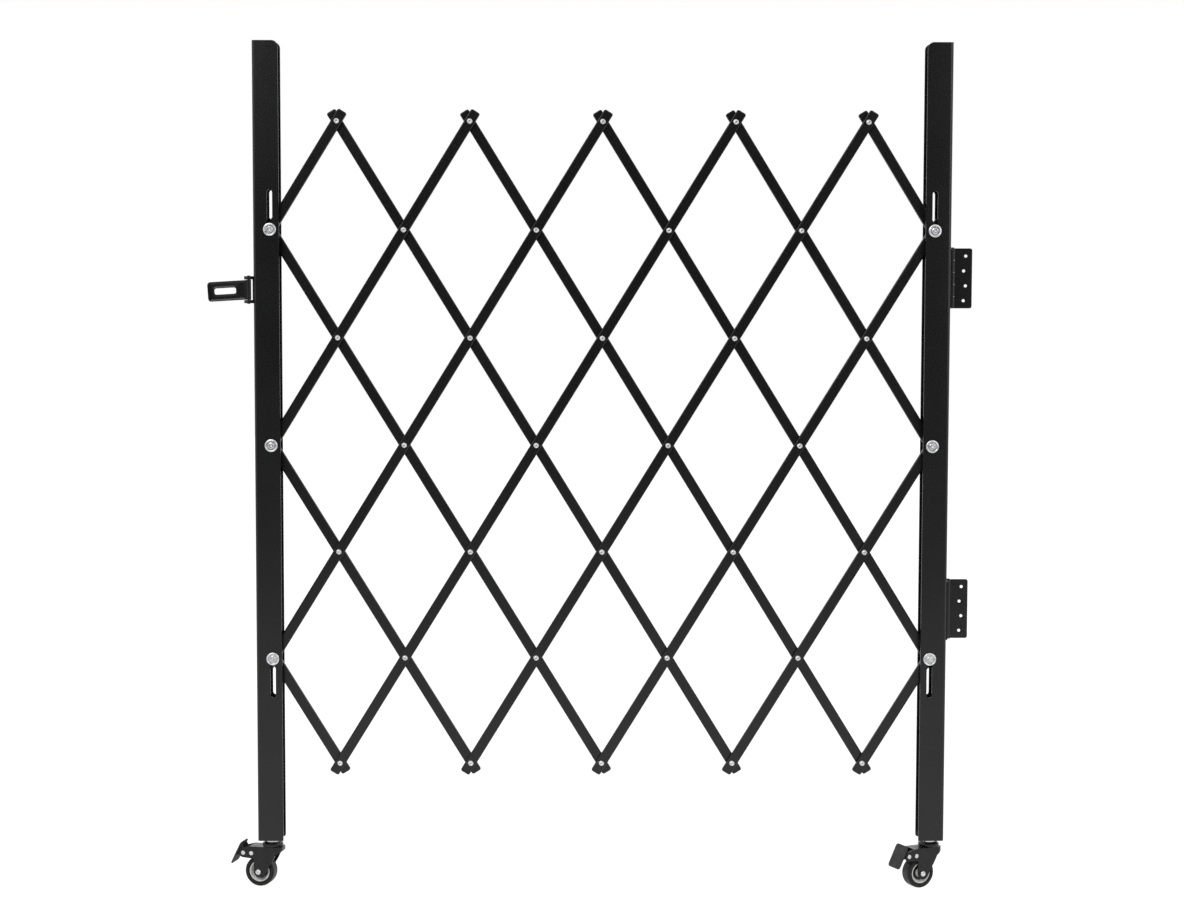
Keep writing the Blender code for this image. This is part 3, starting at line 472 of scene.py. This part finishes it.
BLACK_ZINC = black_zinc()
for level in ("upper", "lower"):
    for part, finish, slot in (("wall_leaf", POWDER, "black_powder_coat"),
                               ("post_leaf", POWDER, "black_powder_coat"),
                               ("pin", BLACK_ZINC, "black_zinc")):
        node = "%s_hinge_%s" % (level, part)
        leaf = whole(node, "dressed_" + node)
        flatten(leaf)
        soften(leaf, HINGE_EDGE, 2)
        dress(leaf, node, finish)


# Hasp
# A slotted strap of 3 mm steel that hangs a little from an upright pin between two ears of a welded
# bracket. It swings out to meet a staple on the wall.

STRAP_BORDER = 0.0018
STRAP_SLOPE = 0.0018
STRAP_DISH = 0.0008
FACING = -0.999             # a normal that points at the viewer


def press_panel(item):
    """Presses in the strap's flat front, which leaves a raised border round it and round its slot."""
    fronts = [face for face in item.data.polygons if face.normal.y < FACING]
    level = max(fronts, key=lambda face: face.area).center.y
    choose(item, lambda point: False)
    bpy.ops.mesh.select_mode(type="FACE")
    bpy.ops.object.mode_set(mode="OBJECT")
    for face in item.data.polygons:
        face.select = face.normal.y < FACING and abs(face.center.y - level) < CUT_CLEAR
    bpy.ops.object.mode_set(mode="EDIT")
    bpy.ops.mesh.inset(thickness=STRAP_BORDER, depth=0)
    bpy.ops.mesh.inset(thickness=STRAP_SLOPE, depth=-STRAP_DISH)
    bpy.ops.object.mode_set(mode="OBJECT")


for node, finish, slot in (("hasp_bracket", POWDER, "black_powder_coat"),
                           ("hasp_strap", POWDER, "black_powder_coat"),
                           ("hasp_pin", BLACK_ZINC, "black_zinc")):
    piece = whole(node, "dressed_" + node)
    flatten(piece)
    if node == "hasp_strap":
        press_panel(piece)
    soften(piece, HINGE_EDGE, 3)
    dress(piece, node, finish)


# Casters
# A pressed steel fork under a ball race, a grey nylon wheel with a rubber tyre moulded on and a thin
# black cover on each side of its web, which is the dark hub and also painted shade for its deep recess,
# and a rocker pedal that jams the tyre. The king bolt holds it to the post's foot plate.

FLOOR = min(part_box(name)[0].z for name in ("latch_caster_tyre", "hinge_caster_tyre"))
FORK_TOP = 0.0696           # above the floor
RACE_GAP = 0.0003
MOULDED_EDGE = 0.0002
PRESSED_EDGE = 0.0006
CUP_RINGS = [(0.0056, 0.0), (0.0150, 0.0), (0.0168, 0.0006), (0.0177, 0.0018), (0.0180, 0.0030),
             (0.0180, 0.0044), (0.0177, 0.0053), (0.0168, 0.0058), (0.0160, 0.0061),
             (0.0153, 0.0068), (0.0146, 0.0077), (0.0138, 0.0082), (0.0056, 0.0082)]
WASHER_RINGS = [(0.0053, 0.0083), (0.0121, 0.0083), (0.0125, 0.0087), (0.0125, 0.0113),
                (0.0121, 0.0117), (0.0053, 0.0117)]
KING_RINGS = [(0.0060, -0.0058), (0.0079, -0.0056), (0.0085, -0.0040), (0.0085, -0.0023),
              (0.0050, -0.0023), (0.0050, 0.0217), (0.0044, 0.0223)]
KING_NUT_FLAT = 0.0075      # middle to flat
KING_NUT_LOW = 0.0156
KING_NUT_HEIGHT = 0.0055
WHEEL_SIDE = [(0.0182, 0.0), (0.0182, 0.0094), (0.0179, 0.0098), (0.0166, 0.0098),
              (0.0160, 0.0094), (0.0134, 0.0058), (0.0127, 0.0040), (0.0120, 0.0036),
              (0.0086, 0.0036), (0.0080, 0.0042), (0.0078, 0.0106), (0.0074, 0.0110),
              (0.0034, 0.0110)]
TYRE_SIDE = [(0.0185, 0.0), (0.0185, 0.0096), (0.0187, 0.0101), (0.0191, 0.0103), (0.0194, 0.0098),
             (0.0198, 0.0097), (0.0202, 0.0104), (0.0208, 0.0109), (0.0224, 0.0109),
             (0.0229, 0.0105), (0.0232, 0.0100), (0.0236, 0.0100), (0.0240, 0.0104),
             (0.0247, 0.0102), (0.0254, 0.0095), (0.0258, 0.0086), (0.0260, 0.0072),
             (0.0260, 0.0)]
# Thin black discs in the wheel's recess: the hub's own dark colour, and painted shade where the recess
# lies in shadow.
HUB_SHADE_COVER_RINGS = [(0.0082, 0.0044), (0.0130, 0.0044), (0.0130, 0.0049), (0.0127, 0.0051),
               (0.0082, 0.0051)]
AXLE_BOLT_RINGS = [(0.0024, -0.0183), (0.0030, -0.0180), (0.0030, 0.0149), (0.0048, 0.0149),
                   (0.0048, 0.0162), (0.0045, 0.0174), (0.0036, 0.0183), (0.0022, 0.0184),
                   (0.0018, 0.0172), (0.0004, 0.0170)]
AXLE_NUT_RINGS = [(0.0033, 0.0149), (0.0048, 0.0149), (0.0048, 0.0185), (0.0046, 0.0194),
                  (0.0040, 0.0199), (0.0024, 0.0199), (0.0020, 0.0187), (0.0004, 0.0186)]
PIN_RINGS = [(0.0029, -0.0163), (0.0036, -0.0160), (0.0036, -0.0149), (0.0022, -0.0149),
             (0.0022, 0.0149), (0.0036, 0.0149), (0.0036, 0.0160), (0.0029, 0.0163),
             (0.0018, 0.0163), (0.0014, 0.0154), (0.0004, 0.0153)]


def both_sides(side):
    """A profile for one side of a wheel, carried round to the other side."""
    return [(radius, -place) for radius, place in reversed(side[1:])] + side[1:]


def grey_nylon():
    """Moulded nylon: pale warm grey, a little dusty, with the low sheen of plastic."""
    material, shader, place = new_finish("moulded grey nylon")
    shader.inputs["Specular IOR Level"].default_value = 0.4
    clouds = speckle(material, place, 150, 4, 0.6)
    grain = speckle(material, place, 3000, 2)
    tint = ramp(material, clouds, [(0.35, (0.48, 0.48, 0.465)), (0.68, (0.64, 0.64, 0.62))])
    sheen = spread(material, clouds, 0.38, 0.55)
    skin = dents(material, grain, 0.08, 0.0002)
    lay_on(material, shader, tint, sheen, skin)
    return material


def rubber():
    """Black tyre rubber: matt, with fine grain and a bloom of grey dust."""
    material, shader, place = new_finish("black tyre rubber")
    shader.inputs["Specular IOR Level"].default_value = 0.35
    clouds = speckle(material, place, 90, 5, 0.65)
    grain = speckle(material, place, 2200, 3)
    tint = ramp(material, clouds, [(0.38, (0.0035, 0.0035, 0.0035)),
                                   (0.75, (0.0115, 0.0112, 0.0108))])
    sheen = spread(material, clouds, 0.40, 0.58)
    skin = dents(material, grain, 0.22, 0.0003)
    lay_on(material, shader, tint, sheen, skin)
    return material


def pedal_paint():
    """Coarse black texture paint, scuffed grey by shoes."""
    material, shader, place = new_finish("black texture paint")
    shader.inputs["Specular IOR Level"].default_value = 0.25
    scuffs = speckle(material, place, 70, 5, 0.7)
    pebbles = speckle(material, place, 1300, 2)
    tint = ramp(material, scuffs, [(0.38, (0.016, 0.016, 0.016)), (0.66, (0.042, 0.042, 0.041))])
    sheen = spread(material, scuffs, 0.56, 0.72)
    skin = dents(material, pebbles, 0.35, 0.0004)
    lay_on(material, shader, tint, sheen, skin)
    return material


NYLON = grey_nylon()
RUBBER = rubber()
TEXTURE_PAINT = pedal_paint()

cup = machined("cup", CUP_RINGS, sides=48, edge=MOULDED_EDGE, bore=True)
washer = machined("washer", WASHER_RINGS, sides=48, bore=True)
king = machined("king", KING_RINGS, sides=40, edge=MOULDED_EDGE)
king = joined([king, hexagon(KING_NUT_FLAT, KING_NUT_LOW, KING_NUT_HEIGHT)], "king")
wheel = machined("wheel", both_sides(WHEEL_SIDE), sides=64, edge=MOULDED_EDGE, bore=True)
tyre = machined("tyre", both_sides(TYRE_SIDE), sides=72, bore=True)
# The black covers are the dark hub and also painted shade for the deep recess of the wheel.
hub_shade_cover = machined("hub_shade_cover", HUB_SHADE_COVER_RINGS, sides=48, bore=True)
other_hub_shade_cover = stand(copy_of(hub_shade_cover, "other_hub_shade_cover"), (0, 0, 0), (math.pi, 0, 0))
hub_shade_cover = joined([hub_shade_cover, other_hub_shade_cover], "hub_shade_cover")
axle = machined("axle", AXLE_BOLT_RINGS, sides=32)
axle_nut = machined("axle_nut", AXLE_NUT_RINGS, sides=32)
pin = machined("pin", PIN_RINGS, sides=28)

for side in ("latch", "hinge"):
    caster = side + "_caster_"
    spin = joints[side + "_wheel_spin"]
    swivel = joints[side + "_caster_swivel"]
    yaw = math.atan2(-spin["axis"][0], spin["axis"][1])
    hub = Vector(spin["pos_m"])
    top = Vector((swivel["pos_m"][0], swivel["pos_m"][1], FLOOR + FORK_TOP + RACE_GAP))
    across = (math.pi / 2, 0, yaw)
    for drawing, node, slot, finish, place, turn in (
            (cup, "race", "black_zinc", BLACK_ZINC, top, (0, 0, 0)),
            (king, "king_bolt", "bright_zinc", ZINC, top, (0, 0, yaw)),
            (wheel, "wheel", "grey_nylon", NYLON, hub, across),
            (tyre, "tyre", "black_rubber", RUBBER, hub, across),
            (axle, "axle_bolt", "bright_zinc", ZINC, hub, (-math.pi / 2, 0, yaw)),
            (axle_nut, "axle_nut", "bright_zinc", ZINC, hub, across)):
        dress(stand(copy_of(drawing, "dressed_" + caster + node), place, turn),
              caster + node, finish)
    add_on(stand(copy_of(washer, side + "_caster_washer"), top), side + "_post", ZINC)
    # Black covers on the wheel's web: the dark hub, and painted shade in its recess.
    add_on(stand(copy_of(hub_shade_cover, side + "_wheel_hub_shade_covers"), hub, across),
           side + "_caster_wheel", BLACK_ZINC)
    for node in ("pedal_pin", "anchor_pin"):
        low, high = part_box(caster + node)
        dress(stand(copy_of(pin, "dressed_" + caster + node), (low + high) / 2, across),
              caster + node, ZINC)
    for node, finish in (("fork", BLACK_ZINC), ("brake_pedal", TEXTURE_PAINT)):
        pressed = whole(caster + node, "dressed_" + caster + node)
        flatten(pressed)
        soften(pressed, PRESSED_EDGE, 3)
        dress(pressed, caster + node, finish)
for drawing in (cup, washer, king, wheel, tyre, hub_shade_cover, axle, axle_nut, pin):
    bpy.data.objects.remove(drawing)


# Floor and backdrop
# A plain white studio floor that keeps a faint shadow under the wheels, and a white sweep behind and
# beside the gate. The studio in front of it is dimmer, which is what keeps black paint black.

FLOOR_HALF = 12
WHITE = (1, 1, 1, 1)
PAPER_GLOW = 0.9            # the light that the camera sees in the floor, besides its shadow
PAPER_SHADE = (0.22, 0.22, 0.22, 1)
PAPER_MATT = (0.85, 0.85, 0.85, 1)
PAPER_DIM = (-5.6, 0.12)    # place along Y and strength at the near end, as black steel mirrors it
PAPER_FULL = (-1.6, 1.0)
FRONT_DIM = (-0.96, 0.03)   # Y of a direction and strength, straight in front of the gate
FRONT_FULL = (-0.70, 1.0)
ABOVE_DIM = (0.16, 0.0)     # Z of a direction and strength
ABOVE_FULL = (0.64, 0.9)


def fade(tree, dim, full):
    """Goes smoothly from one (place, strength) to the other."""
    step = tree.nodes.new("ShaderNodeMapRange")
    step.interpolation_type = "SMOOTHSTEP"
    step.inputs["From Min"].default_value, step.inputs["To Min"].default_value = dim
    step.inputs["From Max"].default_value, step.inputs["To Max"].default_value = full
    return step


bpy.ops.object.select_all(action="DESELECT")
bpy.ops.mesh.primitive_plane_add(size=FLOOR_HALF * 2, location=(0, 0, FLOOR))
floor = bpy.context.object
floor.name = "studio_floor"
paper = bpy.data.materials.new("white studio floor")
paper.use_nodes = True
tree = paper.node_tree
tree.nodes.clear()
out = tree.nodes.new("ShaderNodeOutputMaterial")
matt = tree.nodes.new("ShaderNodeBsdfDiffuse")
matt.inputs["Color"].default_value = PAPER_MATT
shade = tree.nodes.new("ShaderNodeBsdfDiffuse")
shade.inputs["Color"].default_value = PAPER_SHADE
glow = tree.nodes.new("ShaderNodeEmission")
glow.inputs["Color"].default_value = WHITE
glow.inputs["Strength"].default_value = PAPER_GLOW
mirror = tree.nodes.new("ShaderNodeEmission")
mirror.inputs["Color"].default_value = WHITE
spot = tree.nodes.new("ShaderNodeTexCoord")
spot_parts = tree.nodes.new("ShaderNodeSeparateXYZ")
paper_end = fade(tree, PAPER_DIM, PAPER_FULL)
pale = tree.nodes.new("ShaderNodeAddShader")
ray = tree.nodes.new("ShaderNodeLightPath")
gloss = tree.nodes.new("ShaderNodeMixShader")
mix = tree.nodes.new("ShaderNodeMixShader")
links(paper, [((glow, "Emission"), (pale, 0)),
              ((shade, "BSDF"), (pale, 1)),
              ((spot, "Object"), (spot_parts, "Vector")),
              ((spot_parts, "Y"), (paper_end, "Value")),
              ((paper_end, "Result"), (mirror, "Strength")),
              ((ray, "Is Glossy Ray"), (gloss, "Fac")),
              ((matt, "BSDF"), (gloss, 1)),
              ((mirror, "Emission"), (gloss, 2)),
              ((ray, "Is Camera Ray"), (mix, "Fac")),
              ((gloss, "Shader"), (mix, 1)),
              ((pale, "Shader"), (mix, 2)),
              ((mix, "Shader"), (out, "Surface"))])
floor.data.materials.append(paper)

world = bpy.data.worlds.new("studio")
bpy.context.scene.world = world
world.use_nodes = True
sky = world.node_tree.nodes
sky.clear()
world_out = sky.new("ShaderNodeOutputWorld")
white = sky.new("ShaderNodeBackground")
white.inputs["Color"].default_value = WHITE
white.inputs["Strength"].default_value = 1.0
room = sky.new("ShaderNodeBackground")
room.inputs["Color"].default_value = WHITE
way = sky.new("ShaderNodeTexCoord")
way_parts = sky.new("ShaderNodeSeparateXYZ")
sweep = fade(world.node_tree, FRONT_DIM, FRONT_FULL)
overhead = fade(world.node_tree, ABOVE_DIM, ABOVE_FULL)
lit = sky.new("ShaderNodeMath")
lit.operation = "MAXIMUM"
seen = sky.new("ShaderNodeLightPath")
either = sky.new("ShaderNodeMath")
either.operation = "MAXIMUM"
choice = sky.new("ShaderNodeMixShader")
links(world, [((way, "Generated"), (way_parts, "Vector")),
              ((way_parts, "Y"), (sweep, "Value")),
              ((way_parts, "Z"), (overhead, "Value")),
              ((sweep, "Result"), (lit, 0)),
              ((overhead, "Result"), (lit, 1)),
              ((lit, "Value"), (room, "Strength")),
              ((seen, "Is Camera Ray"), (either, 0)),
              ((seen, "Is Transmission Ray"), (either, 1)),
              ((either, "Value"), (choice, "Fac")),
              ((room, "Background"), (choice, 1)),
              ((white, "Background"), (choice, 2)),
              ((choice, "Shader"), (world_out, "Surface"))])


# Lights
# One broad soft lamp high on the left and a weaker one on the right, as in a small product studio.
# Both are turned towards the middle of the gate.

LAMP_SIZE = 1.8
LAMP_AIM = Vector((-0.6, 0, 0.2))

for name, place, power in (("key lamp", (-2.4, -3.0, 2.6), 55), ("fill lamp", (2.0, -3.2, 1.4), 22)):
    bpy.ops.object.light_add(type="AREA", location=place)
    lamp = bpy.context.object
    lamp.name = name
    lamp.data.size = LAMP_SIZE
    lamp.data.energy = power
    lamp.rotation_euler = (LAMP_AIM - Vector(place)).to_track_quat("-Z", "Y").to_euler()


# Camera
# Straight on, a little above the middle bolts. The distance is chosen, since the photograph's rivets fit
# nearly as well from 2 m as from 8 m. At that distance the turn and the lens were fitted to the posts'
# ends and the rivets.

CAMERA_PLACE = (-0.6697, -3.9442, 0.5501)
CAMERA_TURN = (math.radians(85.84055), math.radians(-0.12429), math.radians(-0.5394))
CAMERA_LENS = 70.222
CAMERA_SENSOR = 36

bpy.ops.object.camera_add(location=CAMERA_PLACE, rotation=CAMERA_TURN)
camera = bpy.context.object
camera.data.lens = CAMERA_LENS
camera.data.sensor_width = CAMERA_SENSOR
bpy.context.scene.camera = camera
bpy.context.scene.view_settings.view_transform = "Standard"
